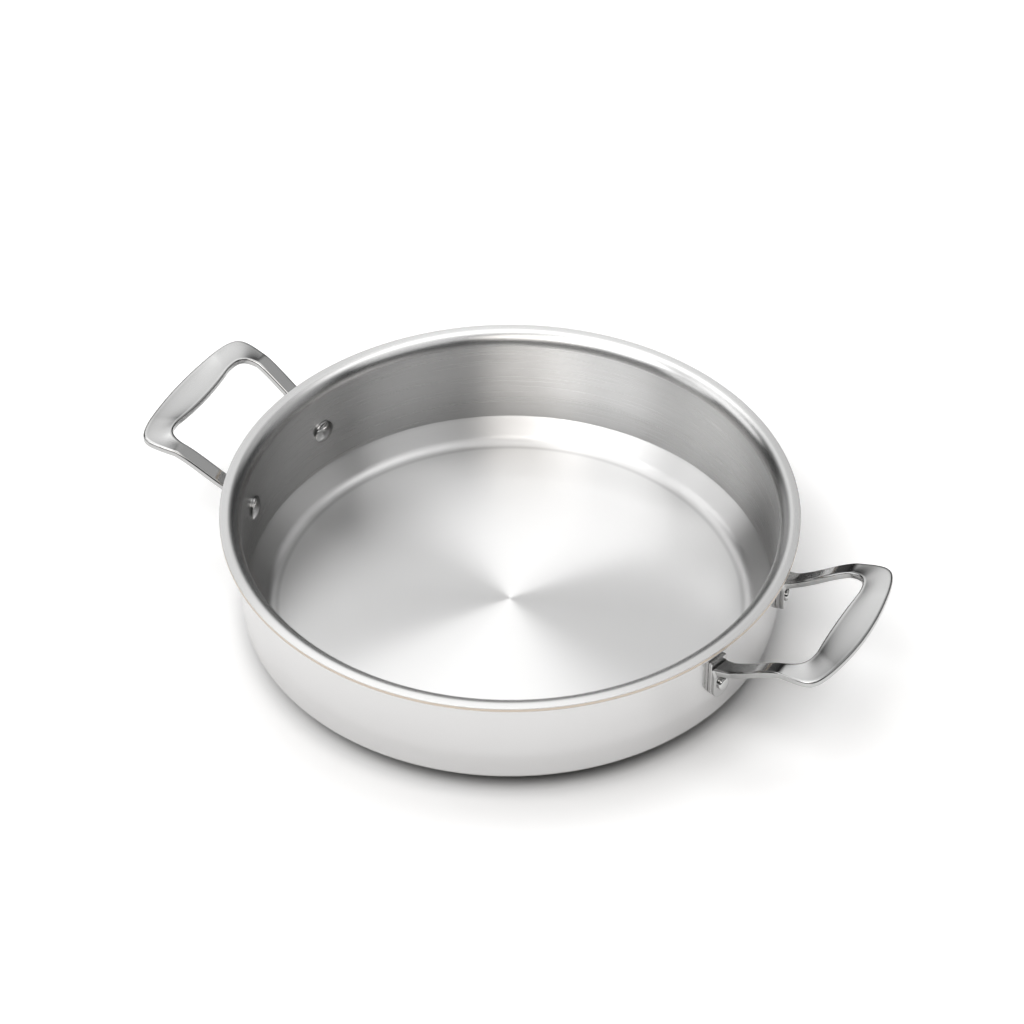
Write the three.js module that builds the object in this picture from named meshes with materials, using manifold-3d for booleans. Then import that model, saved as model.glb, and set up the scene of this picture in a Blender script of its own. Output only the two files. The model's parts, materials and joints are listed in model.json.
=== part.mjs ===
// A round, shallow two-handled pan in clad stainless steel.
// The body is one sheet of three bonded plies, pressed to a flat floor, a sloping corner, a straight
// wall and a turned-out pouring lip.
// Each cast loop handle stands on two spacer pads and is held by two rivets.
// Millimetres, +Z up, origin at the centre of the base, +X along the line through both handles.
import * as THREE from "three";
import { mergeVertices } from "three/addons/utils/BufferGeometryUtils.js";
import Module from "manifold-3d";

const wasm = await Module();
wasm.setup();

// Pan body
const wallInsideRadius = 139.3;
const panHeight = 67.7; // base to the top of the lip
const lipReach = 10.7; // inside of the wall to the lip's edge
const lipBendRadius = 7.2; // cooking side of the bend, wall to lip
const wallFootDraw = 1.1; // how far the wall's foot stands in from the wall
const wallDrawRise = 14.2; // height over which the wall runs out from its foot
const cornerReach = 10.6; // level run of the sloping corner, floor to the wall's foot
const cornerRise = 10.25; // and its height
const floorBendRadius = 9; // cooking side of the bend, floor to corner
const wallFootBendRadius = 1; // cooking side of the bend, corner to wall
const innerPlyThickness = 0.5;
const corePlyThickness = 1.6;
const outerPlyThickness = 0.5;

// Rivets
const rivetPitch = 72.5; // between one handle's two rivets, across the wall's outside
const rivetDrop = 30.3; // rivet axis below the top of the lip
const rivetShankRadius = 2.4;
const rivetHeadRadius = 6.5;
const rivetHeadEdge = 0.7; // height of the head's upright edge
const rivetHeadDome = 1.9; // height of the dome above that edge
const rivetButtonRadius = 3.3;
const rivetButtonRise = 2;
const rivetButtonRound = 0.8; // rounding of the button's edge

// Spacer pads and handle feet
const padThickness = 1.5;
const footThickness = 2.2;
const footWidth = 11.6;
const footRise = 12.5; // above the rivet axis
const padRise = 15.2; // the pad stands above the foot
const footDrop = 8.6; // foot and pad, below the rivet axis
const footTopRound = 1.2;

// Handle strap, in plan
const fingerGap = 34.8; // lip edge to the middle of the grip's inner edge
const gripWidth = 18; // at mid-span
const gripOuterSwell = 2.8; // how far the outer edge's middle stands out past its ends
const gripInnerSwell = 1.2; // how far the inner edge's middle stands in past its ends
const gripOuterLength = 64; // between the ends of the grip's outer edge
const gripInnerLength = 48;
const armWidth = 9;
const armReach = 25; // lip edge to the start of the corners
const armSpread = 83.7; // between the two arms' centre lines at the corners
const outerArmLead = 17.5; // how far the corner's outer edge runs on along the arm's line
const outerGripLead = 18.6; // and along the grip's line
const outerFlare = 0.2; // turn of both of those lines out of square
const innerArmLead = 9;
const innerGripLead = 8.5;

// Handle strap, in height
const gripRise = 2.2; // top of the corners above the lip
const gripSag = 1.5; // top of the grip's middle below the corners
const gripTilt = 0.4; // outer edge above the centre line
const armEndFall = 2.8; // top of the arm's outer end below the corners
const armSlope = 0.37; // rise over run where the arm meets the corner
const strapThickness = 4.1;
const strapEdgeRound = 0.5; // top edges
const strapBellyRound = 1.5; // lower edges
const gripDish = 0.35; // hollow along the top of the grip

// Clearances
const bondGap = 0.001; // between bonded plies
const seatGap = 0.3; // between pieces that are clamped together
const shankClearance = 0.3; // around a rivet's shank

// Facets
const roundSegments = 60;
const bendSegments = 3;
const domeSegments = 5;
const rivetSegments = 16;
const footSegments = 6;
const armSteps = 8;
const bendSteps = 7;
const gripSteps = 10;

// Places that follow from the sizes above
const sheetThickness = innerPlyThickness + corePlyThickness + outerPlyThickness;
const rimRadius = wallInsideRadius + lipReach;
const wallFootRadius = wallInsideRadius - wallFootDraw;
const wallFootHeight = sheetThickness + cornerRise;
const floorRadius = wallFootRadius - cornerReach;
const wallOutsideRadius = wallInsideRadius + sheetThickness;
const rivetHeight = panHeight - rivetDrop;
const rivetAngle = Math.asin(rivetPitch / 2 / wallOutsideRadius);
const padBack = wallOutsideRadius + seatGap;
const padFront = padBack + padThickness;
const footBack = padFront + seatGap;
const footFront = footBack + footThickness;
const boreRadius = rivetShankRadius + shankClearance;
const handleTurns = [0, Math.PI];
const seatAngles = [-rivetAngle, rivetAngle];

const steel = (roughness, color) => new THREE.MeshStandardMaterial({ color, roughness, metalness: 1 });
const finishes = {
  innerSteel: steel(0.35, 0xc9c7c4),
  core: steel(0.5, 0xd8d2c8),
  outerSteel: steel(0.22, 0xd2d1cf),
  castSteel: steel(0.12, 0xd6d5d3),
  padSteel: steel(0.3, 0xbfbdba),
  rivetSteel: steel(0.1, 0xd9d8d6),
};

// Closed geometry to solid, and back
function toSolid(geometry) {
  const bare = geometry.index ? geometry.toNonIndexed() : geometry.clone();
  bare.deleteAttribute("normal");
  bare.deleteAttribute("uv");
  const merged = mergeVertices(bare, 1e-4);
  const index = merged.index.array;
  const triVerts = [];
  for (let i = 0; i < index.length; i += 3) {
    const [a, b, c] = index.slice(i, i + 3);
    if (a !== b && b !== c && c !== a) triVerts.push(a, b, c);
  }
  const vertProperties = merged.attributes.position.array;
  return new wasm.Manifold(
    new wasm.Mesh({ numProp: 3, vertProperties, triVerts: new Uint32Array(triVerts) }),
  );
}

function toGeometry(solid) {
  const mesh = solid.getMesh();
  const geometry = new THREE.BufferGeometry();
  geometry.setAttribute("position", new THREE.BufferAttribute(mesh.vertProperties, 3));
  geometry.setIndex(new THREE.BufferAttribute(mesh.triVerts, 1));
  geometry.computeVertexNormals();
  return geometry;
}

// Points of an arc in a turned profile, leaving out its first point
function arc(centreR, centreZ, radius, startDegrees, endDegrees, segments) {
  const points = [];
  for (let i = 1; i <= segments; i++) {
    const angle = THREE.MathUtils.degToRad(startDegrees + ((endDegrees - startDegrees) * i) / segments);
    points.push(new THREE.Vector2(centreR + radius * Math.cos(angle), centreZ + radius * Math.sin(angle)));
  }
  return points;
}

// Pan body: the corners of the cooking surface, from the axis to the lip's edge, and the bend at each;
// the lip bends away from the food, so its radius counts as negative
const cookingCorners = [
  { at: new THREE.Vector2(0, sheetThickness) },
  { at: new THREE.Vector2(floorRadius, sheetThickness), bend: floorBendRadius },
  { at: new THREE.Vector2(wallFootRadius, wallFootHeight), bend: wallFootBendRadius },
  { at: new THREE.Vector2(wallInsideRadius, wallFootHeight + wallDrawRise) },
  { at: new THREE.Vector2(wallInsideRadius, panHeight), bend: -lipBendRadius },
  { at: new THREE.Vector2(rimRadius, panHeight) },
];

// Points of a round bend in place of a corner of the profile
function bendPoints(before, corner, after, radius) {
  const arriving = corner.clone().sub(before).normalize();
  const leaving = after.clone().sub(corner).normalize();
  const turn = Math.atan2(arriving.cross(leaving), arriving.dot(leaving));
  const start = corner.clone().addScaledVector(arriving, -radius * Math.tan(Math.abs(turn) / 2));
  const towardsCentre = new THREE.Vector2(-arriving.y, arriving.x).multiplyScalar(Math.sign(turn));
  const centre = start.clone().addScaledVector(towardsCentre, radius);
  const points = [];
  for (let i = 0; i <= bendSegments; i++)
    points.push(start.clone().rotateAround(centre, (turn * i) / bendSegments));
  return points;
}

// The face of the sheet at a depth below the cooking surface
function sheetFace(depth) {
  const outwards = cookingCorners.slice(1).map(({ at }, i) => {
    const along = at.clone().sub(cookingCorners[i].at).normalize();
    return new THREE.Vector2(along.y, -along.x);
  });
  const moved = cookingCorners.map(({ at }, i) => {
    const before = outwards[Math.max(i - 1, 0)];
    const after = outwards[Math.min(i, outwards.length - 1)];
    const mitre = before.clone().add(after).multiplyScalar(depth / (1 + before.dot(after)));
    return at.clone().add(mitre);
  });
  return moved.flatMap((point, i) => {
    const { bend } = cookingCorners[i];
    return bend ? bendPoints(moved[i - 1], point, moved[i + 1], Math.abs(bend + depth)) : [point];
  });
}

// A cylinder along a rivet's axis, between two radii of the pan
function rivetBore(fromRadius, toRadius, angle) {
  const bore = new THREE.CylinderGeometry(boreRadius, boreRadius, toRadius - fromRadius, rivetSegments);
  bore.rotateZ(Math.PI / 2);
  bore.translate((fromRadius + toRadius) / 2, 0, rivetHeight);
  bore.rotateZ(angle);
  return toSolid(bore);
}

function makePly(topDepth, bottomDepth) {
  const profile = [...sheetFace(bottomDepth), ...sheetFace(topDepth).reverse()];
  const shell = new THREE.LatheGeometry(profile, roundSegments);
  shell.rotateX(Math.PI / 2);
  let ply = toSolid(shell);
  for (const turn of handleTurns)
    for (const angle of seatAngles)
      ply = ply.subtract(rivetBore(floorRadius, rimRadius, turn + angle));
  return toGeometry(ply);
}

// Outline of a foot or pad, across and up from the rivet axis: square top, round lower end
function footOutline(rise) {
  const half = footWidth / 2;
  const round = Math.min(half, footDrop);
  const shape = new THREE.Shape();
  shape.moveTo(half, round - footDrop);
  shape.lineTo(half, rise - footTopRound);
  shape.absarc(half - footTopRound, rise - footTopRound, footTopRound, 0, Math.PI / 2);
  shape.lineTo(footTopRound - half, rise);
  shape.absarc(footTopRound - half, rise - footTopRound, footTopRound, Math.PI / 2, Math.PI);
  shape.lineTo(-half, round - footDrop);
  shape.absellipse(0, round - footDrop, half, round, Math.PI, 2 * Math.PI);
  return shape;
}

// A plate of that outline, standing on the rivet axis between two radii of the pan, on the +X side
function footPlate(fromRadius, toRadius, rise) {
  const plate = new THREE.ExtrudeGeometry(footOutline(rise), {
    depth: toRadius - fromRadius,
    bevelEnabled: false,
    curveSegments: footSegments,
  });
  const across = new THREE.Vector3(0, 1, 0);
  const up = new THREE.Vector3(0, 0, 1);
  const outwards = new THREE.Vector3(1, 0, 0);
  plate.applyMatrix4(new THREE.Matrix4().makeBasis(across, up, outwards));
  plate.translate(fromRadius, 0, rivetHeight);
  return plate;
}

// Spacer pad: flat in front, hollowed behind to follow the wall
function makePad() {
  const wallCut = new THREE.CylinderGeometry(padBack, padBack, 2 * panHeight, 4 * roundSegments);
  wallCut.rotateX(Math.PI / 2);
  const hollowRadius = Math.sqrt(padBack ** 2 - (footWidth / 2) ** 2) - seatGap;
  const blank = toSolid(footPlate(hollowRadius, padFront, padRise));
  return toGeometry(blank.subtract(toSolid(wallCut)).subtract(rivetBore(wallInsideRadius, rimRadius, 0)));
}

// Rivet: domed head inside the pan, shank through sheet, pad and foot, button outside
function makeRivet() {
  const facetRadius = wallInsideRadius * Math.cos(Math.PI / roundSegments);
  const headSeat = Math.sqrt(facetRadius ** 2 - rivetHeadRadius ** 2) - seatGap;
  const buttonSeat = footFront + seatGap;
  const domeRadius = (rivetHeadRadius ** 2 + rivetHeadDome ** 2) / (2 * rivetHeadDome);
  const domeFoot = headSeat - rivetHeadEdge;
  const domeCentre = domeFoot - rivetHeadDome + domeRadius;
  const domeHalfAngle = THREE.MathUtils.radToDeg(Math.asin(rivetHeadRadius / domeRadius));
  const buttonEdge = rivetButtonRadius - rivetButtonRound;
  const buttonShoulder = buttonSeat + rivetButtonRise - rivetButtonRound;
  const profile = [
    new THREE.Vector2(0, domeFoot - rivetHeadDome),
    ...arc(0, domeCentre, domeRadius, -90, domeHalfAngle - 90, domeSegments),
    new THREE.Vector2(rivetHeadRadius, headSeat),
    new THREE.Vector2(rivetShankRadius, headSeat),
    new THREE.Vector2(rivetShankRadius, buttonSeat),
    new THREE.Vector2(rivetButtonRadius, buttonSeat),
    new THREE.Vector2(rivetButtonRadius, buttonShoulder),
    ...arc(buttonEdge, buttonShoulder, rivetButtonRound, 0, 90, bendSegments),
    new THREE.Vector2(0, buttonSeat + rivetButtonRise),
  ];
  const rivet = new THREE.LatheGeometry(profile, rivetSegments);
  rivet.rotateZ(-Math.PI / 2);
  return toGeometry(toSolid(rivet));
}

// One edge of the strap's top, from the foot on the -Y side round to the middle of the grip
function strapEdge({ side, gripX, swell, gripLength, armLead, gripLead, flare }) {
  const point = (x, y, z) => new THREE.Vector3(x, y, z);
  const topZ = panHeight + gripRise;
  const tilt = side * gripTilt;
  const gripEndSag = gripSag / 3;
  const rootRadius = (footBack + footFront) / 2;
  const rootY = -rootRadius * Math.sin(rivetAngle) - (side * armWidth) / 2;
  const root = point(rootRadius * Math.cos(rivetAngle), rootY, rivetHeight + footRise - strapEdgeRound);
  const armEnd = point(rimRadius + armReach, (-armSpread - side * armWidth) / 2, topZ - armEndFall);
  const gripEnd = point(gripX - side * swell, -gripLength / 2, topZ - gripEndSag + tilt);
  const gripMiddle = point(gripX, 0, topZ - gripSag + tilt);

  const armRun = armEnd.x - root.x;
  const armLean = (armEnd.y - root.y) / armRun;
  const rootLead = armRun / 4;
  const slopeLead = armRun / 3;
  const rootHandle = root.clone().add(point(rootLead, rootLead * armLean, 0));
  const armHandle = armEnd.clone().sub(point(1, armLean, armSlope).multiplyScalar(slopeLead));
  const bendStart = armEnd.clone().add(point(armLead, -armLead * flare, armEndFall));
  const bendEnd = gripEnd.clone().add(point(-gripLead * flare, -gripLead, gripEndSag));
  const gripHandle = point(gripX, gripEnd.y / 2, topZ - gripSag + tilt);
  return [
    new THREE.CubicBezierCurve3(root, rootHandle, armHandle, armEnd),
    new THREE.CubicBezierCurve3(armEnd, bendStart, bendEnd, gripEnd),
    new THREE.QuadraticBezierCurve3(gripEnd, gripHandle, gripMiddle),
  ];
}

// Where the sections of the strap stand: their inner and outer ends, their heading and their hollow
function strapStations() {
  const inner = strapEdge({
    side: -1,
    gripX: rimRadius + fingerGap,
    swell: gripInnerSwell,
    gripLength: gripInnerLength,
    armLead: innerArmLead,
    gripLead: innerGripLead,
    flare: 0,
  });
  const outer = strapEdge({
    side: 1,
    gripX: rimRadius + fingerGap + gripWidth,
    swell: gripOuterSwell,
    gripLength: gripOuterLength,
    armLead: outerArmLead,
    gripLead: outerGripLead,
    flare: outerFlare,
  });
  const dishes = [() => 0, (t) => gripDish * THREE.MathUtils.smoothstep(t, 0, 1), () => gripDish];
  const half = [];
  [armSteps, bendSteps, gripSteps / 2].forEach((steps, part) => {
    for (let i = part === 0 ? 0 : 1; i <= steps; i++) {
      const t = i / steps;
      const along = inner[part].getTangent(t).add(outer[part].getTangent(t)).normalize();
      const inside = inner[part].getPoint(t);
      const outside = outer[part].getPoint(t);
      half.push({ inside, outside, along, dish: dishes[part](t) });
    }
  });
  const acrossMirror = new THREE.Vector3(1, -1, 1);
  const headingMirror = new THREE.Vector3(-1, 1, -1);
  const mirrored = half.slice(0, -1).reverse().map(({ inside, outside, along, dish }) => ({
    inside: inside.clone().multiply(acrossMirror),
    outside: outside.clone().multiply(acrossMirror),
    along: along.clone().multiply(headingMirror),
    dish,
  }));
  return [...half, ...mirrored];
}

// Section of the strap: [across, up] from the middle of its top, clockwise seen along the strap
function strapSection(width, dish) {
  const half = width / 2;
  const bottom = -strapThickness;
  const bellyStep = strapBellyRound * (1 - Math.SQRT1_2);
  const side = [
    [half - strapEdgeRound, 0],
    [half, -strapEdgeRound],
    [half, bottom + strapBellyRound],
    [half - bellyStep, bottom + bellyStep],
    [half - strapBellyRound, bottom],
  ];
  const otherSide = side.map(([across, up]) => [-across, up]).reverse();
  return [[0, -dish], ...side, ...otherSide];
}

function makeStrap() {
  const positions = [];
  const triangles = [];
  const stations = strapStations();
  let ring = 0;
  for (const { inside, outside, along, dish } of stations) {
    const middle = inside.clone().lerp(outside, 0.5);
    const across = outside.clone().sub(inside).normalize();
    const lift = new THREE.Vector3().crossVectors(across, along).normalize();
    const section = strapSection(inside.distanceTo(outside), dish);
    ring = section.length;
    for (const [a, u] of section) {
      const p = middle.clone().addScaledVector(across, a).addScaledVector(lift, u);
      positions.push(p.x, p.y, p.z);
    }
  }
  const last = (stations.length - 1) * ring;
  for (let s = 0; s < last; s += ring)
    for (let i = 0; i < ring; i++) {
      const j = (i + 1) % ring;
      triangles.push(s + i, s + j, s + ring + i);
      triangles.push(s + j, s + ring + j, s + ring + i);
    }
  for (let i = 1; i < ring - 1; i++) {
    triangles.push(0, i + 1, i);
    triangles.push(last, last + i, last + i + 1);
  }
  const strap = new THREE.BufferGeometry();
  strap.setAttribute("position", new THREE.Float32BufferAttribute(positions, 3));
  strap.setIndex(triangles);
  return toSolid(strap);
}

function makeHandle() {
  let handle = makeStrap();
  for (const angle of seatAngles)
    handle = handle.add(toSolid(footPlate(footBack, footFront, footRise).rotateZ(angle)));
  for (const angle of seatAngles) handle = handle.subtract(rivetBore(wallInsideRadius, rimRadius, angle));
  return toGeometry(handle);
}

// Assembly
const pan = new THREE.Group();

function addPart(parent, name, geometry, material) {
  const part = new THREE.Mesh(geometry, material);
  part.name = name;
  parent.add(part);
}

const coreTop = innerPlyThickness;
const coreBottom = innerPlyThickness + corePlyThickness;
addPart(pan, "pan_inner_ply", makePly(0, coreTop), finishes.innerSteel);
addPart(pan, "pan_core_ply", makePly(coreTop + bondGap, coreBottom), finishes.core);
addPart(pan, "pan_outer_ply", makePly(coreBottom + bondGap, sheetThickness), finishes.outerSteel);

const sideNames = ["right", "left"];
const endNames = ["front", "rear"];
const padGeometry = makePad();
const rivetGeometry = makeRivet();
const handleGeometry = makeHandle();
handleTurns.forEach((turn, side) => {
  const handleSide = new THREE.Group();
  handleSide.rotation.z = turn;
  pan.add(handleSide);
  addPart(handleSide, `handle_${sideNames[side]}`, handleGeometry, finishes.castSteel);
  seatAngles.forEach((angle, i) => {
    const seat = new THREE.Group();
    seat.rotation.z = angle;
    handleSide.add(seat);
    // Seen from +Z with -Y in front, the half turn swaps front and rear on the left side
    const end = endNames[side === 0 ? i : 1 - i];
    addPart(seat, `spacer_pad_${sideNames[side]}_${end}`, padGeometry, finishes.padSteel);
    const rivetSeat = new THREE.Group();
    rivetSeat.position.z = rivetHeight;
    seat.add(rivetSeat);
    addPart(rivetSeat, `rivet_${sideNames[side]}_${end}`, rivetGeometry, finishes.rivetSteel);
  });
});

export default pan;
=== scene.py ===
import json
import math

import bmesh
import bpy
from mathutils import Matrix, Vector

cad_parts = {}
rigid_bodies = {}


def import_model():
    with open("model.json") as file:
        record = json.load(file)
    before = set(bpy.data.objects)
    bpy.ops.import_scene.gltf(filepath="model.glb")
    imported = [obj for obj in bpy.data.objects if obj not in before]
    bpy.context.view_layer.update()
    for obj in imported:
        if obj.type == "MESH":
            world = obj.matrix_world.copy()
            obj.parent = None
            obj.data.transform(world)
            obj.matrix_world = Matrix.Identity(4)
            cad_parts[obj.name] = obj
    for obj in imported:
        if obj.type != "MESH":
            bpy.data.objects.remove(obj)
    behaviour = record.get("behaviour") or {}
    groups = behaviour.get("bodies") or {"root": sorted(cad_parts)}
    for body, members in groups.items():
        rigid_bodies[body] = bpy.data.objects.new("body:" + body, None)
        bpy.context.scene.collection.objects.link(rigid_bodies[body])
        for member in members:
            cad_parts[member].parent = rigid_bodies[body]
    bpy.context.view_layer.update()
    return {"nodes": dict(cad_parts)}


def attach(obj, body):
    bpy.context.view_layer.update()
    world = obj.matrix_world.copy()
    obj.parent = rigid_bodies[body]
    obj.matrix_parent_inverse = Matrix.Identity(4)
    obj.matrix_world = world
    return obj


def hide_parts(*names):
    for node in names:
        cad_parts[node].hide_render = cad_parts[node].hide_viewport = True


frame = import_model()
print("frame:", len(frame["nodes"]), "nodes")

mm = 0.001
weldGap = 0.002  # mm, points nearer than this become one
scene = bpy.context.scene
scene.view_settings.view_transform = "Standard"


# small helpers for node trees: values that are sockets get linked, others are set
def put(tree, kind, *values, **settings):
    made = tree.nodes.new(kind)
    for key, value in settings.items():
        setattr(made, key, value)
    sockets = [socket for socket in made.inputs if socket.enabled]
    for socket, value in zip(sockets, values):
        if isinstance(value, bpy.types.NodeSocket):
            tree.links.new(value, socket)
        elif value is not None:
            socket.default_value = value
    return made


def calc(tree, operation, *values):
    return put(tree, "ShaderNodeMath", *values, operation=operation).outputs[0]


def spread(tree, value, low, high, newLow, newHigh):
    node = put(tree, "ShaderNodeMapRange", value, low, high, newLow, newHigh)
    node.interpolation_type = "SMOOTHSTEP"
    return node.outputs[0]


def newTree(name, inputs):
    tree = bpy.data.node_groups.new(name, "GeometryNodeTree")
    tree.interface.new_socket("Geometry", in_out="OUTPUT", socket_type="NodeSocketGeometry")
    tree.interface.new_socket("Geometry", in_out="INPUT", socket_type="NodeSocketGeometry")
    for label, kind in inputs:
        tree.interface.new_socket(label, in_out="INPUT", socket_type="NodeSocket" + kind)
    source = tree.nodes.new("NodeGroupInput")
    return tree, {socket.name: socket for socket in source.outputs}


def useGroup(tree, group, *values):
    return put(tree, "GeometryNodeGroup", *values, node_tree=group).outputs["Geometry"]


# lay a form that stands on the Z axis along the X axis, and move it to its place
def layAlongX(tree, geometry, place):
    laid = tree.nodes.new("GeometryNodeTransform")
    laid.inputs["Rotation"].default_value = (0, math.pi / 2, 0)
    tree.links.new(geometry, laid.inputs["Geometry"])
    tree.links.new(place, laid.inputs["Translation"])
    return laid.outputs["Geometry"]


# the end of every piece's tree: real geometry with its material
def closePiece(tree, geometry, material):
    real = put(tree, "GeometryNodeRealizeInstances", geometry).outputs["Geometry"]
    finished = tree.nodes.new("GeometryNodeSetMaterial")
    tree.links.new(real, finished.inputs["Geometry"])
    tree.links.new(material, finished.inputs["Material"])
    put(tree, "NodeGroupOutput", finished.outputs["Geometry"])


def addMesh(name, points, faces=(), edges=()):
    mesh = bpy.data.meshes.new(name)
    mesh.from_pydata([Vector(p) * mm for p in points], edges, faces)
    piece = bpy.data.objects.new(name, mesh)
    scene.collection.objects.link(piece)
    return piece


# faces between two rings of points, given by the number of each ring's first point
def bridge(start, end, size):
    return [(start + i, start + (i + 1) % size, end + (i + 1) % size, end + i) for i in range(size)]


# run a tree on a piece and keep the result as its plain mesh
def bakeTree(piece, tree, inputs):
    modifier = piece.modifiers.new(tree.name, "NODES")
    modifier.node_group = tree
    for item in tree.interface.items_tree:
        if item.in_out == "INPUT" and item.name in inputs:
            modifier[item.identifier] = inputs[item.name]
    settle(piece)


def settle(piece):
    view = bpy.context.evaluated_depsgraph_get()
    view.update()
    old = piece.data
    piece.data = bpy.data.meshes.new_from_object(piece.evaluated_get(view))
    piece.data.name = piece.name
    piece.modifiers.clear()
    bpy.data.meshes.remove(old)


def dress(piece, material, sharpDegrees=35):
    shape = bmesh.new()
    shape.from_mesh(piece.data)
    bmesh.ops.remove_doubles(shape, verts=shape.verts, dist=weldGap * mm)
    bmesh.ops.recalc_face_normals(shape, faces=shape.faces)
    shape.to_mesh(piece.data)
    shape.free()
    for face in piece.data.polygons:
        face.use_smooth = True
    piece.data.set_sharp_from_angle(angle=math.radians(sharpDegrees))
    piece.data.materials.clear()
    piece.data.materials.append(material)


def enter(piece, slot, *nodes):
    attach(piece, "root")
    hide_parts(*nodes)


# finishes: metal, unless a socket is given that says otherwise
def newFinish(name, **sockets):
    material = bpy.data.materials.new(name)
    material.use_nodes = True
    tree = material.node_tree
    shader = tree.nodes["Principled BSDF"]
    shader.inputs["Metallic"].default_value = 1
    for label, value in sockets.items():
        shader.inputs[label.replace("_", " ")].default_value = value
    return material, tree, shader


def objectPlace(tree):
    return put(tree, "ShaderNodeTexCoord").outputs["Object"]


# distance from the pan's axis, height, and heading round that axis
def roundCoordinates(tree):
    x, y, z = put(tree, "ShaderNodeSeparateXYZ", objectPlace(tree)).outputs
    outward = put(tree, "ShaderNodeCombineXYZ", x, y, 0.0).outputs[0]
    radius = put(tree, "ShaderNodeVectorMath", outward, operation="LENGTH").outputs["Value"]
    backward = calc(tree, "MULTIPLY", y, -1.0)
    around = put(tree, "ShaderNodeCombineXYZ", backward, x, 0.0).outputs[0]
    heading = put(tree, "ShaderNodeVectorMath", around, operation="NORMALIZE").outputs["Vector"]
    return radius, z, heading


# lines of a brush that runs round the pan's axis
def brushLines(tree, radius, z, heading, finish, detail=2):
    x, y, _ = put(tree, "ShaderNodeSeparateXYZ", heading).outputs
    across = calc(tree, "DIVIDE", radius, finish["pitch"] * mm)
    height = calc(tree, "DIVIDE", z, finish["pitch"] * mm)
    noise = tree.nodes.new("ShaderNodeTexNoise")
    noise.noise_dimensions = "4D"
    noise.inputs["Scale"].default_value = 1
    noise.inputs["Detail"].default_value = detail
    tree.links.new(put(tree, "ShaderNodeCombineXYZ", x, y, across).outputs[0], noise.inputs["Vector"])
    tree.links.new(height, noise.inputs["W"])
    return noise.outputs["Fac"]


def blotches(tree, size, detail=3):
    noise = tree.nodes.new("ShaderNodeTexNoise")
    noise.inputs["Scale"].default_value = 1 / (size * mm)
    noise.inputs["Detail"].default_value = detail
    tree.links.new(objectPlace(tree), noise.inputs["Vector"])
    return noise.outputs["Fac"]


def bumpBy(tree, shader, height, depth, strength):
    bump = tree.nodes.new("ShaderNodeBump")
    bump.inputs["Distance"].default_value = depth * mm
    bump.inputs["Strength"].default_value = strength
    tree.links.new(height, bump.inputs["Height"])
    tree.links.new(bump.outputs["Normal"], shader.inputs["Normal"])


def tintBy(tree, shader, noise, finish, paintedShade=None):
    dark, light = (*finish["dark"], 1), (*finish["light"], 1)
    mix = put(tree, "ShaderNodeMix", noise, dark, light, data_type="RGBA")
    color = [socket for socket in mix.outputs if socket.type == "RGBA"][0]
    # a painted shade, if given, scales the colour
    if paintedShade is not None:
        color = put(tree, "ShaderNodeVectorMath", color, paintedShade, operation="SCALE").outputs["Vector"]
    tree.links.new(color, shader.inputs["Base Color"])


# a roughness and a tint that follow the same noise
def varyBy(tree, shader, noise, finish):
    rough = spread(tree, noise, *finish["span"], *finish["roughness"])
    tree.links.new(rough, shader.inputs["Roughness"])
    tintBy(tree, shader, noise, finish)


brushTurn = 0.25  # a quarter turn, so that highlights run across the brush lines
insideFinish = {
    # heights in mm where one zone runs out into the next, from the floor up to the lip
    "cornerStart": (3.0, 6.0),
    "wallStart": (11.0, 14.0),
    "wallFade": (15.0, 57.0),
    "lipStart": (60.0, 63.0),
    "roughness": (0.3, 0.35, 0.28, 0.24),  # floor, corner, wall, lip
    "paintedShade": (1.0, 0.84, 0.98, 0.88),  # painted shade by height, as colour factors: floor and corner, wall's foot, wall's top, lip
    "span": (0.25, 0.75),  # noise values between which the roughness changes
    "wander": 0.01,  # how far the brush lines take the roughness up and down
    "anisotropy": 0.95,
    "pitch": 0.35,  # of the brush lines
    "dark": (0.728, 0.726, 0.723),
    "light": (0.745, 0.743, 0.74),
    "ring": (120.8, 122.8, 124.6),  # painted shade: faint dark ring on the floor just inside where it bends up into the corner
    "ringShade": 0.16,
}


# a value that changes from zone to zone with the height
def zoned(tree, z, levels, starts):
    total = levels[0]
    for start, low, high in zip(starts, levels, levels[1:]):
        bottom, top = [height * mm for height in insideFinish[start]]
        total = calc(tree, "ADD", total, spread(tree, z, bottom, top, 0.0, high - low))
    return total


def makeInsideSteel():
    material, tree, shader = newFinish(
        "brushedInside", Anisotropic=insideFinish["anisotropy"], Anisotropic_Rotation=brushTurn)
    radius, z, heading = roundCoordinates(tree)
    lines = brushLines(tree, radius, z, heading, insideFinish)
    wander = insideFinish["wander"]
    grain = spread(tree, lines, *insideFinish["span"], -wander, wander)
    rough = zoned(tree, z, insideFinish["roughness"], ["cornerStart", "wallStart", "lipStart"])
    tree.links.new(calc(tree, "ADD", rough, grain), shader.inputs["Roughness"])
    # painted shade: a dark ring taken off the tint on the floor at the corner's bend
    start, middle, end = [ring * mm for ring in insideFinish["ring"]]
    rising = spread(tree, radius, start, middle, 0.0, insideFinish["ringShade"])
    falling = spread(tree, radius, middle, end, 1.0, 0.0)
    ring = calc(tree, "MULTIPLY", rising, falling)
    # painted shade: the tint is darker at the wall's foot, lighter again up the wall and darker on the lip,
    # by height alone
    paintedShade = zoned(tree, z, insideFinish["paintedShade"], ["wallStart", "wallFade", "lipStart"])
    tintBy(tree, shader, lines, insideFinish, calc(tree, "SUBTRACT", paintedShade, ring))
    tree.links.new(heading, shader.inputs["Tangent"])
    return material


outsideFinish = {
    "roughness": (0.22, 0.26),
    "span": (0.25, 0.75),
    "anisotropy": 0.35,
    "pitch": 0.5,
    "dark": (0.63, 0.627, 0.625),
    "light": (0.64, 0.637, 0.635),
}


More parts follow.
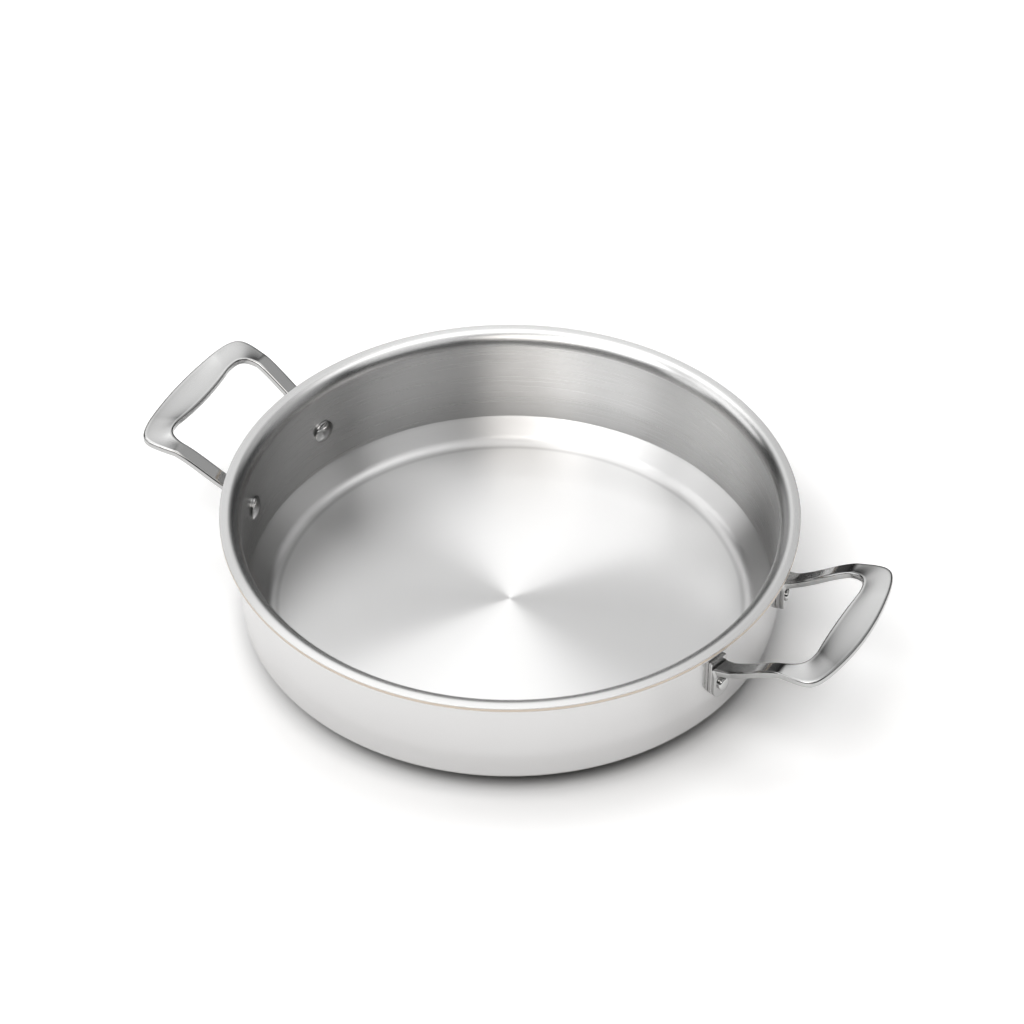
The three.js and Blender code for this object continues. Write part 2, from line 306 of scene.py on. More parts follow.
def makeOutsideSteel():
    material, tree, shader = newFinish(
        "satinOutside", Anisotropic=outsideFinish["anisotropy"], Anisotropic_Rotation=brushTurn)
    radius, z, heading = roundCoordinates(tree)
    varyBy(tree, shader, brushLines(tree, radius, z, heading, outsideFinish), outsideFinish)
    tree.links.new(heading, shader.inputs["Tangent"])
    return material


cutEdgeFinish = {
    "roughness": (0.36, 0.55),
    "span": (0.2, 0.8),
    "pitch": 0.2,
    "dark": (0.51, 0.44, 0.37),
    "light": (0.63, 0.555, 0.48),
}


def makeCutEdge():
    material, tree, shader = newFinish("cutEdgeAluminium")
    varyBy(tree, shader, brushLines(tree, *roundCoordinates(tree), cutEdgeFinish), cutEdgeFinish)
    return material


castFinish = {
    "roughness": (0.085, 0.1),
    "span": (0.3, 0.7),
    "grain": 0.8,  # sizes of the fine and the wide blotches
    "ripple": 6.0,
    "rippleDepth": 0.02,
    "rippleStrength": 0.15,
    "satin": 0.1,  # more on the grip than on the arms
    "satinStart": 168.0,  # out from the pan's middle plane
    "satinEnd": 184.0,
    "dark": (0.46, 0.46, 0.457),
    "light": (0.475, 0.475, 0.472),
}


def makeCastSteel():
    material, tree, shader = newFinish("polishedCast")
    ripple = blotches(tree, castFinish["ripple"])
    grain = blotches(tree, castFinish["grain"])
    polish = spread(tree, grain, *castFinish["span"], *castFinish["roughness"])
    x, _, _ = put(tree, "ShaderNodeSeparateXYZ", objectPlace(tree)).outputs
    start, end = castFinish["satinStart"] * mm, castFinish["satinEnd"] * mm
    satin = spread(tree, calc(tree, "ABSOLUTE", x), start, end, 0.0, castFinish["satin"])
    tree.links.new(calc(tree, "ADD", polish, satin), shader.inputs["Roughness"])
    tintBy(tree, shader, ripple, castFinish)
    bumpBy(tree, shader, ripple, castFinish["rippleDepth"], castFinish["rippleStrength"])
    return material


sheetFinish = {
    "roughness": (0.11, 0.17),
    "span": (0.3, 0.7),
    "grain": 1.5,
    "dark": (0.52, 0.516, 0.512),
    "light": (0.56, 0.556, 0.552),
}
rivetFinish = {
    "roughness": (0.04, 0.07),
    "span": (0.3, 0.7),
    "grain": 3.0,
    "dark": (0.56, 0.56, 0.556),
    "light": (0.58, 0.58, 0.576),
}


def makePlainSteel(name, finish):
    material, tree, shader = newFinish(name)
    varyBy(tree, shader, blotches(tree, finish["grain"]), finish)
    return material


insideSteel = makeInsideSteel()
outsideSteel = makeOutsideSteel()
cutEdge = makeCutEdge()
castSteel = makeCastSteel()
sheetSteel = makePlainSteel("spacerSheet", sheetFinish)
rivetSteel = makePlainSteel("mirrorRivet", rivetFinish)
print("finishes ready")


# turn a profile (x out from the axis, z up) round the axis; its "bend" attribute rounds the corners
def makeTurnedTree():
    tree, given = newTree("turned profile", [("Segments", "Int"), ("Bend Steps", "Int")])
    bend = put(tree, "GeometryNodeInputNamedAttribute", "bend", data_type="FLOAT").outputs["Attribute"]
    curve = put(tree, "GeometryNodeMeshToCurve", given["Geometry"]).outputs["Curve"]
    rounding = put(tree, "GeometryNodeFilletCurve", curve, mode="POLY")
    tree.links.new(given["Bend Steps"], rounding.inputs["Count"])
    tree.links.new(bend, rounding.inputs["Radius"])
    line = put(tree, "GeometryNodeCurveToMesh", rounding.outputs["Curve"]).outputs["Mesh"]
    count = put(tree, "GeometryNodeAttributeDomainSize", line).outputs["Point Count"]
    ring = calc(tree, "ADD", given["Segments"], 1.0)
    grid = put(tree, "GeometryNodeMeshGrid", 1.0, 1.0, count, ring).outputs["Mesh"]
    index = put(tree, "GeometryNodeInputIndex").outputs["Index"]
    inStep = calc(tree, "ADD", index, 0.5)  # clear of rounding at a row's start
    row = calc(tree, "FLOOR", calc(tree, "DIVIDE", inStep, ring))
    step = calc(tree, "SUBTRACT", index, calc(tree, "MULTIPLY", row, ring))
    turn = calc(tree, "DIVIDE", calc(tree, "MULTIPLY", step, 2 * math.pi), given["Segments"])
    position = put(tree, "GeometryNodeInputPosition").outputs["Position"]
    sample = put(tree, "GeometryNodeSampleIndex", line, position, row, data_type="FLOAT_VECTOR")
    out, _, up = put(tree, "ShaderNodeSeparateXYZ", sample.outputs["Value"]).outputs
    x = calc(tree, "MULTIPLY", out, calc(tree, "COSINE", turn))
    y = calc(tree, "MULTIPLY", out, calc(tree, "SINE", turn))
    place = put(tree, "ShaderNodeCombineXYZ", x, y, up).outputs[0]
    turned = put(tree, "GeometryNodeSetPosition", grid, None, place).outputs["Geometry"]
    closed = put(tree, "GeometryNodeMergeByDistance", turned, None, weldGap * mm).outputs["Geometry"]
    put(tree, "NodeGroupOutput", closed)
    return tree


# copy a form, made on the +X side, to the four seats of the handles' feet
def makeSeatTree():
    tree, given = newTree("handle seats", [("Seat Angle", "Float")])
    seats = tree.nodes.new("GeometryNodeMeshLine")  # four points at the pan's axis
    seats.inputs["Count"].default_value = 4
    seats.inputs["Offset"].default_value = (0, 0, 0)
    index = put(tree, "GeometryNodeInputIndex").outputs["Index"]
    side = calc(tree, "FLOOR", calc(tree, "DIVIDE", index, 2.0))  # 0 right, 1 left
    end = calc(tree, "SUBTRACT", calc(tree, "MULTIPLY", calc(tree, "MODULO", index, 2.0), 2.0), 1.0)  # -1, 1
    swing = calc(tree, "MULTIPLY", end, given["Seat Angle"])
    turn = calc(tree, "ADD", swing, calc(tree, "MULTIPLY", side, math.pi))
    euler = put(tree, "ShaderNodeCombineXYZ", 0.0, 0.0, turn).outputs[0]
    rotation = put(tree, "FunctionNodeEulerToRotation", euler).outputs[0]
    copies = put(tree, "GeometryNodeInstanceOnPoints", seats.outputs["Mesh"])
    tree.links.new(given["Geometry"], copies.inputs["Instance"])
    tree.links.new(rotation, copies.inputs["Rotation"])
    real = put(tree, "GeometryNodeRealizeInstances", copies.outputs["Instances"]).outputs["Geometry"]
    put(tree, "NodeGroupOutput", real)
    return tree


turnedTree = makeTurnedTree()
seatTree = makeSeatTree()


# pan body: one sheet of three bonded plies
panBody = {
    "wallRadius": 139.3,  # inside
    "height": 67.7,
    "lipReach": 10.7,
    "lipBend": 7.2,
    "footDraw": 1.1,  # how far the wall's foot stands in from the wall
    "drawRise": 14.2,  # height over which the wall runs out from its foot
    "drawBend": 60.0,
    "cornerReach": 10.6,  # sloping corner: level run and height
    "cornerRise": 10.25,
    "floorBend": 9.0,
    "footBend": 1.0,
    "innerPly": 0.5,
    "corePly": 1.6,
    "outerPly": 0.5,
    "edgeRound": 0.12,
    "support": 0.6,  # rings that keep the flats flat beside the bends
    "segments": 240,
    "bendSteps": 22,
}
rivet = {
    "pitch": 72.5,
    "drop": 30.3,  # axis below the lip
    "shank": 2.4,
    "head": 6.5,
    "headEdge": 1.0,
    "headDome": 1.9,
    "headRound": 0.45,
    "button": 3.3,
    "buttonRise": 2.0,
    "buttonCrown": 0.25,  # rise of the button's middle over its edge
    "buttonRound": 0.9,
    "buttonFoot": 0.1,
    "clearance": 0.3,
    "boreSides": 32,
    "boreRows": 2.5,  # rings of the wall above and below the bores, in bore radii
    "segments": 64,
    "domeSteps": 14,
    "bendSteps": 8,
}
sheet = panBody["innerPly"] + panBody["corePly"] + panBody["outerPly"]
rimRadius = panBody["wallRadius"] + panBody["lipReach"]
footRadius = panBody["wallRadius"] - panBody["footDraw"]
footHeight = sheet + panBody["cornerRise"]
wallOutside = panBody["wallRadius"] + sheet
rivetHeight = panBody["height"] - rivet["drop"]
seatAngle = math.asin(rivet["pitch"] / 2 / wallOutside)
boreRadius = rivet["shank"] + rivet["clearance"]
boreRow = rivet["boreRows"] * boreRadius


# corners of the cooking face, from the axis to the lip: out, up, bend; the lip bends the other way
cookingCorners = [
    (0, sheet, 0),
    (footRadius - panBody["cornerReach"], sheet, panBody["floorBend"]),
    (footRadius, footHeight, panBody["footBend"]),
    (panBody["wallRadius"], footHeight + panBody["drawRise"], panBody["drawBend"]),
    (panBody["wallRadius"], panBody["height"], -panBody["lipBend"]),
    (rimRadius, panBody["height"], 0),
]


# the same corners at a depth in the sheet, with rings beside each bend
def sheetFace(depth):
    points = [Vector((out, up)) for out, up, bend in cookingCorners]
    runs = [(b - a).normalized() for a, b in zip(points, points[1:])]
    sides = [Vector((run.y, -run.x)) for run in runs]
    face = []
    for i, (point, (_, _, bend)) in enumerate(zip(points, cookingCorners)):
        before, after = sides[max(i - 1, 0)], sides[min(i, len(sides) - 1)]
        corner = point + (before + after) * depth / (1 + before.dot(after))
        if not bend:
            face.append((*corner, 0))
            continue
        radius = abs(bend + depth)
        reach = radius * math.tan(runs[i - 1].angle(runs[i]) / 2) + panBody["support"]
        face.append((*(corner - runs[i - 1] * reach), 0))
        face.append((*corner, radius))
        face.append((*(corner + runs[i] * reach), 0))
        if bend == panBody["drawBend"]:
            face.append((corner.x, rivetHeight - boreRow, 0))
            face.append((corner.x, rivetHeight + boreRow, 0))
    face[-1] = (*face[-1][:2], panBody["edgeRound"])
    return face


def profileObject(name, corners):
    points = [(out, 0, up) for out, up, bend in corners]
    edges = [(i, i + 1) for i in range(len(points) - 1)]
    piece = addMesh(name, points, edges=edges)
    bends = piece.data.attributes.new("bend", "FLOAT", "POINT")
    bends.data.foreach_set("value", [bend * mm for out, up, bend in corners])
    return piece


def makePlyTree():
    tree, given = newTree("clad ply", [
        ("Segments", "Int"), ("Bend Steps", "Int"), ("Bore Sides", "Int"), ("Bore Radius", "Float"),
        ("Bore Height", "Float"), ("Bore Reach", "Float"), ("Seat Angle", "Float"),
        ("Material", "Material")])
    shell = useGroup(tree, turnedTree, given["Geometry"], given["Segments"], given["Bend Steps"])
    bore = put(
        tree, "GeometryNodeMeshCylinder", given["Bore Sides"], 1, 1,
        given["Bore Radius"], given["Bore Reach"])
    place = put(tree, "ShaderNodeCombineXYZ", given["Bore Reach"], 0.0, given["Bore Height"]).outputs[0]
    laid = layAlongX(tree, bore.outputs["Mesh"], place)
    cut = put(tree, "GeometryNodeMeshBoolean", operation="DIFFERENCE", solver="EXACT")
    tree.links.new(shell, cut.inputs["Mesh 1"])
    tree.links.new(useGroup(tree, seatTree, laid, given["Seat Angle"]), cut.inputs["Mesh 2"])
    closePiece(tree, cut.outputs["Mesh"], given["Material"])
    return tree


plyTree = makePlyTree()


def makePly(name, topDepth, bottomDepth, material):
    piece = profileObject(name, sheetFace(topDepth) + sheetFace(bottomDepth)[::-1])
    bakeTree(piece, plyTree, {
        "Segments": panBody["segments"],
        "Bend Steps": panBody["bendSteps"],
        "Bore Sides": rivet["boreSides"],
        "Bore Radius": boreRadius * mm,
        "Bore Height": rivetHeight * mm,
        "Bore Reach": wallOutside * mm,
        "Seat Angle": seatAngle,
        "Material": material,
    })
    dress(piece, material)
    return piece


coreTop = panBody["innerPly"]
coreBottom = coreTop + panBody["corePly"]
panInner = makePly("panInner", 0, coreTop, insideSteel)
panCore = makePly("panCore", coreTop, coreBottom, cutEdge)
panOuter = makePly("panOuter", coreBottom, sheet, outsideSteel)
enter(panInner, "inner_steel", "pan_inner_ply")
enter(panCore, "core_aluminium", "pan_core_ply")
enter(panOuter, "outer_steel", "pan_outer_ply")
print("pan body:", sum(len(p.data.polygons) for p in (panInner, panCore, panOuter)), "faces")


# spacer pads and handle feet, seen along the rivet's axis: square top, round lower end
foot = {
    "gap": 0.3,
    "padThickness": 1.5,
    "footThickness": 2.2,
    "width": 11.6,
    "rise": 12.5,  # above the rivet's axis
    "padRise": 15.2,
    "drop": 8.6,
    "topRound": 1.2,
    "edge": 0.2,
    "seam": 0.08,  # what shows of the gap between clamped faces
    "castEdges": (0.3, 0.5),  # rounding of the foot's back and front
    "tipShare": 0.97,  # how much of the round lower end is swept
    "tipThinning": 0.35,
    "tipStart": 60.0,  # degrees down the round end where the thinning starts
    "tipSteps": 12,
    "straightSteps": 5,
    "padSteps": 144,
    "halvings": 40,  # of the search for the pad's outline
}
padBack = wallOutside + foot["gap"]
padFront = padBack + foot["padThickness"]
footBack = padFront + foot["gap"]
footFront = footBack + foot["footThickness"]
seatNodes = [f"{side}_{end}" for side in ("right", "left") for end in ("front", "rear")]


# distance from the rivet's axis to the outline in a direction, by bisection on a simple inside test
def outlineReach(angle, rise, inset):
    half = foot["width"] / 2 - inset
    top = rise - inset
    low = foot["drop"] - inset
    corner = foot["topRound"] - inset
    across, up = abs(math.cos(angle)), math.sin(angle)

    def isInside(reach):
        x, z = across * reach, up * reach
        if x > half or z > top or z < -low:
            return False
        if z < half - low:
            return math.hypot(x, z - (half - low)) <= half
        if x > half - corner and z > top - corner:
            return math.hypot(x - half + corner, z - top + corner) <= corner
        return True

    inside, outside = 0.0, 2 * (rise + foot["width"])
    for _ in range(foot["halvings"]):
        middle = (inside + outside) / 2
        if isInside(middle):
            inside = middle
        else:
            outside = middle
    return inside


# a pad is flat in front and hollowed behind to the wall, with its edges broken
def makePads():
    steps = foot["padSteps"]
    edge = foot["edge"]
    front = footBack - foot["seam"]
    points, rings = [], []
    sweep = [math.tau * i / steps for i in range(steps)]

    def ring(reaches, isFront, lowered):
        rings.append(len(points))
        for angle, reach in zip(sweep, reaches):
            across, up = reach * math.cos(angle), reach * math.sin(angle)
            back = math.sqrt((wallOutside + foot["seam"]) ** 2 - across ** 2)
            out = front - lowered if isFront else back + lowered
            points.append((out, across, rivetHeight + up))

    full = [outlineReach(angle, foot["padRise"], 0) for angle in sweep]
    inset = [outlineReach(angle, foot["padRise"], edge) for angle in sweep]
    bore = [boreRadius] * steps
    ring(bore, True, 0)
    ring(inset, True, 0)
    ring(full, True, edge)
    ring(full, False, edge)
    ring(inset, False, 0)
    ring(bore, False, 0)
    faces = []
    for start, end in zip(rings, rings[1:] + rings[:1]):
        faces.extend(bridge(start, end, steps))
    pads = addMesh("spacerPads", points, faces)
    tree, given = newTree("spacer pads", [("Seat Angle", "Float"), ("Material", "Material")])
    copies = useGroup(tree, seatTree, given["Geometry"], given["Seat Angle"])
    closePiece(tree, copies, given["Material"])
    bakeTree(pads, tree, {"Seat Angle": seatAngle, "Material": sheetSteel})
    dress(pads, sheetSteel)
    return pads


spacerPads = makePads()
enter(spacerPads, "pad_steel", *[f"spacer_pad_{seat}" for seat in seatNodes])


# rivets: domed head inside the pan, shank, button outside; out from the axis, along it, bend
def rivetProfile():
    headSeat = math.sqrt(panBody["wallRadius"] ** 2 - rivet["head"] ** 2)
    domeFoot = headSeat - rivet["headEdge"]
    domeRadius = (rivet["head"] ** 2 + rivet["headDome"] ** 2) / (2 * rivet["headDome"])
    domeCentre = domeFoot - rivet["headDome"] + domeRadius
    halfAngle = math.asin(rivet["head"] / domeRadius)
    buttonSeat = footFront + foot["seam"]
    buttonTop = footFront + rivet["buttonRise"]
    corners = []
    for i in range(rivet["domeSteps"]):
        angle = halfAngle * i / rivet["domeSteps"]
        corners.append((domeRadius * math.sin(angle), domeCentre - domeRadius * math.cos(angle), 0))
    corners.append((rivet["head"], domeFoot, rivet["headRound"]))
    corners.append((rivet["head"], headSeat, 0))
    corners.append((rivet["shank"], headSeat, 0))
    corners.append((rivet["shank"], buttonSeat, 0))
    corners.append((rivet["button"], buttonSeat, rivet["buttonFoot"]))
    corners.append((rivet["button"], buttonTop - rivet["buttonCrown"], rivet["buttonRound"]))
    corners.append((0, buttonTop, 0))
    return corners


def makeRivets():
    rivets = profileObject("rivets", rivetProfile())
    tree, given = newTree("rivets at the seats", [
        ("Segments", "Int"), ("Bend Steps", "Int"), ("Height", "Float"), ("Seat Angle", "Float"),
        ("Material", "Material")])
    turned = useGroup(tree, turnedTree, given["Geometry"], given["Segments"], given["Bend Steps"])
    place = put(tree, "ShaderNodeCombineXYZ", 0.0, 0.0, given["Height"]).outputs[0]
    copies = useGroup(tree, seatTree, layAlongX(tree, turned, place), given["Seat Angle"])
    closePiece(tree, copies, given["Material"])
    bakeTree(rivets, tree, {
        "Segments": rivet["segments"],
        "Bend Steps": rivet["bendSteps"],
        "Height": rivetHeight * mm,
        "Seat Angle": seatAngle,
        "Material": rivetSteel,
    })
    dress(rivets, rivetSteel)
    return rivets


rivets = makeRivets()
enter(rivets, "rivet_steel", *[f"rivet_{seat}" for seat in seatNodes])
print("pads and rivets:", len(spacerPads.data.polygons) + len(rivets.data.polygons), "faces")


# cast loop handle: a strap that turns down into a foot at each end
handle = {
    "fingerGap": 34.8,  # lip edge to the grip's inner edge
    "gripWidth": 18.0,
    "outerSwell": 2.8,  # how far an edge's middle stands out beyond its ends
    "innerSwell": 1.2,
    "outerLength": 64.0,
    "innerLength": 48.0,
    "armWidth": 9.0,
    "armReach": 25.0,  # lip edge to the arm's end
    "armSpread": 83.7,  # between the two arms' ends
    "outerArmLead": 17.5,  # reach of a corner's curve along the arm and along the grip
    "outerGripLead": 18.6,
    "outerFlare": 0.2,
    "innerArmLead": 9.0,
    "innerGripLead": 8.5,
    "innerFlare": 0.0,
    "rootLead": 1 / 4,  # how far the arm's curve follows its ends, as shares of its run
    "armEndLead": 1 / 3,
    "gripRise": 2.2,  # grip's corners above the lip
    "gripSag": 1.5,
    "endSag": 1 / 3,  # share of the sag at the grip's ends
    "gripTilt": 0.4,  # outer edge up, inner edge down
    "armEndFall": 2.8,  # arm's end below the grip's corners
    "armSlope": 0.37,
    "thickness": 4.1,
    "edges": (1.2, 1.5),  # rounding of the top's edges and of the underside's
    "topLimit": (0.45, 0.4),  # most that this may be of the half width and of the thickness
    "bellyLimit": (0.45, 0.45),
    "dish": 0.35,
    "rootLow": 0.5,  # arm's top below the foot's top
    "heel": 1.3,  # bend of the foot's upper back edge
    "crook": 1.8,  # fillet under the arm
    "shoulder": 0.2,  # how far along the arm the foot's width runs out
    "narrowing": 0.45,  # share of that width lost in the bend
    "bendSteps": 10,
    "armSteps": 14,
    "cornerSteps": 18,
    "gripSteps": 14,
    "dishSteps": 6,
    "topSteps": 5,
    "bellySteps": 7,
    "sharpDegrees": 40,
}


def bezier(points, t):
    while len(points) > 1:
        points = [a.lerp(b, t) for a, b in zip(points, points[1:])]
    return points[0]


def bezierHeading(points, t):
    return bezier([b - a for a, b in zip(points, points[1:])], t).normalized()


def smooth(t):
    t = min(max(t, 0), 1)
    return t * t * (3 - 2 * t)


# one edge of the strap's top, from the foot on the -Y side to the middle of the grip: three curves
def strapEdge(side, gripX, swell, length, armLead, gripLead, flare):
    top = panBody["height"] + handle["gripRise"]
    tilt = side * handle["gripTilt"]
    sag = handle["gripSag"]
    endSag = sag * handle["endSag"]
    rootRadius = (footBack + footFront) / 2
    root = Vector((
        rootRadius * math.cos(seatAngle),
        -rootRadius * math.sin(seatAngle) - side * handle["armWidth"] / 2,
        rivetHeight + foot["rise"] - handle["rootLow"]))
    armEnd = Vector((
        rimRadius + handle["armReach"],
        (-handle["armSpread"] - side * handle["armWidth"]) / 2,
        top - handle["armEndFall"]))
    gripEnd = Vector((gripX - side * swell, -length / 2, top - endSag + tilt))
    gripMiddle = Vector((gripX, 0, top - sag + tilt))
    run = armEnd.x - root.x
    lean = (armEnd.y - root.y) / run
    rootHandle = root + Vector((1, lean, 0)) * run * handle["rootLead"]
    armHandle = armEnd - Vector((1, lean, handle["armSlope"])) * run * handle["armEndLead"]
    bendStart = armEnd + Vector((armLead, -armLead * flare, handle["armEndFall"]))
    bendEnd = gripEnd + Vector((-gripLead * flare, -gripLead, endSag))
    gripHandle = Vector((gripX, gripEnd.y / 2, top - sag + tilt))
    return [
        [root, rootHandle, armHandle, armEnd],
        [armEnd, bendStart, bendEnd, gripEnd],
        [gripEnd, gripHandle, gripMiddle],
    ]


# outline of a section across the strap, once round from the middle of its dished top: across, up
def strapSection(width, thickness, dish, topEdge, belly):
    half = width / 2
    topEdge = min(topEdge, handle["topLimit"][0] * half, handle["topLimit"][1] * thickness)
    belly = min(belly, handle["bellyLimit"][0] * half, handle["bellyLimit"][1] * thickness)
    flat = half - topEdge
    level = half - belly
    side = []
    for i in range(1, handle["dishSteps"] + 1):
        across = flat * i / handle["dishSteps"]
        side.append((across, -dish * (1 - (across / flat) ** 2)))
    for i in range(1, handle["topSteps"] + 1):
        angle = math.pi / 2 * (1 - i / handle["topSteps"])
        side.append((flat + topEdge * math.cos(angle), -topEdge + topEdge * math.sin(angle)))
    for i in range(handle["bellySteps"] + 1):
        angle = -math.pi / 2 * i / handle["bellySteps"]
        side.append((level + belly * math.cos(angle), -thickness + belly + belly * math.sin(angle)))
    side.append((level / 2, -thickness))
    mirrored = [(-across, up) for across, up in reversed(side)]
    return [(0, -dish)] + side + [(0, -thickness)] + mirrored


# sections of the -Y half: middle of the top, across, lift, width, thickness, dish, both roundings
def halfHandle():
    gripInside = rimRadius + handle["fingerGap"]
    inner = strapEdge(
        -1, gripInside, handle["innerSwell"], handle["innerLength"],
        handle["innerArmLead"], handle["innerGripLead"], handle["innerFlare"])
    outer = strapEdge(
        1, gripInside + handle["gripWidth"], handle["outerSwell"], handle["outerLength"],
        handle["outerArmLead"], handle["outerGripLead"], handle["outerFlare"])
    outward = Vector((math.cos(seatAngle), -math.sin(seatAngle), 0))
    across = Vector((-math.sin(seatAngle), -math.cos(seatAngle), 0))
    sections = []

    def add(top, bottom, width, edges, dish=0.0, heading=across):
        depth = top - bottom
        sections.append((top, heading, depth.normalized(), width, depth.length, dish, *edges))

    def atFoot(out, up):
        return outward * out + Vector((0, 0, up))

    half = foot["width"] / 2
    roundHeight = rivetHeight - foot["drop"] + half
    for i in range(foot["tipSteps"]):  # round lower end
        angle = math.pi / 2 * (1 - i / foot["tipSteps"]) * foot["tipShare"]
        thinning = smooth((math.degrees(angle) - foot["tipStart"]) / (90 - foot["tipStart"]))
        thin = foot["tipThinning"] * thinning
        up = roundHeight - half * math.sin(angle)
        width = foot["width"] * math.cos(angle)
        add(atFoot(footBack + thin, up), atFoot(footFront - thin, up), width, foot["castEdges"])
    rootTop = rivetHeight + foot["rise"] - handle["rootLow"]
    heelHeight = rootTop - handle["heel"]
    crookHeight = rootTop - handle["thickness"] - handle["crook"]
    for i in range(foot["straightSteps"]):  # straight part
        share = i / foot["straightSteps"]
        top = atFoot(footBack, roundHeight + (heelHeight - roundHeight) * share)
        bottom = atFoot(footFront, roundHeight + (crookHeight - roundHeight) * share)
        add(top, bottom, foot["width"], foot["castEdges"])
    for i in range(handle["bendSteps"] + 1):  # bend into the arm
        angle = math.pi - math.pi / 2 * i / handle["bendSteps"]
        share = smooth(i / handle["bendSteps"])
        out, up = 1 + math.cos(angle), math.sin(angle)
        top = atFoot(footBack + handle["heel"] * out, heelHeight + handle["heel"] * up)
        bottom = atFoot(footFront + handle["crook"] * out, crookHeight + handle["crook"] * up)
        width = foot["width"] + (handle["armWidth"] - foot["width"]) * handle["narrowing"] * share
        edges = [low + (high - low) * share for low, high in zip(foot["castEdges"], handle["edges"])]
        add(top, bottom, width, edges)
    spans = [
        (handle["armSteps"], handle["shoulder"]),
        (handle["cornerSteps"], 0.0),
        (handle["gripSteps"], 0.0),
    ]
    for part, (steps, start) in enumerate(spans):
        for i in range(0 if part == 0 else 1, steps + 1):  # a later curve starts where one ends
            t = start + (1 - start) * i / steps
            inside, outside = bezier(inner[part], t), bezier(outer[part], t)
            along = (bezierHeading(inner[part], t) + bezierHeading(outer[part], t)).normalized()
            heading = (outside - inside).normalized()
            lift = heading.cross(along).normalized()
            middle = (inside + outside) / 2
            width = (outside - inside).length
            dish = [0.0, handle["dish"] * smooth(t), handle["dish"]][part]
            add(middle, middle - lift * handle["thickness"], width, handle["edges"], dish, heading)
    return sections


def makeHandle(name, turn):
    rings = []
    for top, heading, lift, width, thickness, dish, topEdge, belly in halfHandle():
        outline = strapSection(width, thickness, dish, topEdge, belly)
        rings.append([top + heading * across + lift * up for across, up in outline])
    flip = Vector((1, -1, 1))
    for ring in reversed(rings[:-1]):  # the +Y half mirrors the -Y half
        rings.append([point * flip for point in ring])
    points = [point for ring in rings for point in ring]
    size = len(rings[0])
    starts = range(0, len(points), size)
    faces = [tuple(range(size)), tuple(range(starts[-1], len(points)))]
    for start, end in zip(starts, starts[1:]):
        faces.extend(bridge(start, end, size))
    piece = addMesh(name, points, faces)
    piece.data.transform(Matrix.Rotation(turn, 4, "Z"))
    for angle in (-seatAngle, seatAngle):
        cutBore(piece, turn + angle)
    dress(piece, castSteel, handle["sharpDegrees"])
    return piece


def cutBore(piece, angle):
    shape = bmesh.new()
    bmesh.ops.create_cone(
        shape, cap_ends=True, segments=rivet["boreSides"], radius1=boreRadius * mm, radius2=boreRadius * mm,
        depth=2 * (footFront - wallOutside) * mm)
    tool = bpy.data.meshes.new("bore")
    shape.to_mesh(tool)
    shape.free()
    tool.transform(Matrix.Rotation(math.pi / 2, 4, "Y"))
    tool.transform(Matrix.Translation(Vector(((footBack + footFront) / 2, 0, rivetHeight)) * mm))
    tool.transform(Matrix.Rotation(angle, 4, "Z"))
    cutter = bpy.data.objects.new("bore", tool)
    scene.collection.objects.link(cutter)
    cut = piece.modifiers.new("bore", "BOOLEAN")
    cut.operation = "DIFFERENCE"
    cut.solver = "EXACT"
    cut.object = cutter
    settle(piece)
    bpy.data.objects.remove(cutter)
    bpy.data.meshes.remove(tool)


handleRight = makeHandle("handleRight", 0)
handleLeft = makeHandle("handleLeft", math.pi)
enter(handleRight, "cast_steel", "handle_right")
enter(handleLeft, "cast_steel", "handle_left")
print("handles:", len(handleRight.data.polygons) + len(handleLeft.data.polygons), "faces")


# white table top
stage = {
    "size": 60.0,  # metres
    "color": 0.5,  # as it lights the pan
    "seen": 1.21,  # as the camera sees it, also mirrored in the pan
    "contact": 0.7,  # painted shade: darkening under the pan's overhang
    "contactStart": 120.0,
    "contactEnd": 150.0,
}


def makeTable():
    reach = stage["size"] / 2 / mm
    corners = [(-reach, -reach, 0), (reach, -reach, 0), (reach, reach, 0), (-reach, reach, 0)]
    table = addMesh("tableTop", corners, [(0, 1, 2, 3)])
    material, tree, shader = newFinish("whiteTable", Metallic=0, Roughness=1, Specular_IOR_Level=0)
    path = tree.nodes.new("ShaderNodeLightPath").outputs
    looked = calc(tree, "MAXIMUM", path["Is Camera Ray"], path["Is Glossy Ray"])
    looked = calc(tree, "MAXIMUM", looked, path["Is Transmission Ray"])
    direct = calc(tree, "LESS_THAN", path["Diffuse Depth"], 0.5)  # no matt bounce on the way
    seen = calc(tree, "MULTIPLY", looked, direct)
    white = spread(tree, seen, 0.0, 1.0, stage["color"], stage["seen"])
    # painted shade: the table's colour darkens towards the pan's axis, under its overhang
    radius, _, _ = roundCoordinates(tree)
    low = 1 - stage["contact"]
    paintedShade = spread(tree, radius, stage["contactStart"] * mm, stage["contactEnd"] * mm, low, 1.0)
    tree.links.new(calc(tree, "MULTIPLY", white, paintedShade), shader.inputs["Base Color"])
    table.data.materials.append(material)


makeTable()


# camera at the photograph's place
view = {
    "place": (0.6936, -1.2721, 1.3399),  # metres
    "forward": (-0.3587, 0.6590, -0.6611),
    "lens": 131.27,
    "sensor": 36.0,
    "reach": 50.0,  # metres
}


def makeCamera():
    data = bpy.data.cameras.new("camera")
    data.lens = view["lens"]
    data.sensor_width = view["sensor"]
    data.sensor_fit = "HORIZONTAL"
    data.clip_end = view["reach"]
    camera = bpy.data.objects.new("camera", data)
    scene.collection.objects.link(camera)
    camera.location = view["place"]
    camera.rotation_euler = Vector(view["forward"]).to_track_quat("-Z", "Y").to_euler()
    scene.camera = camera


makeCamera()


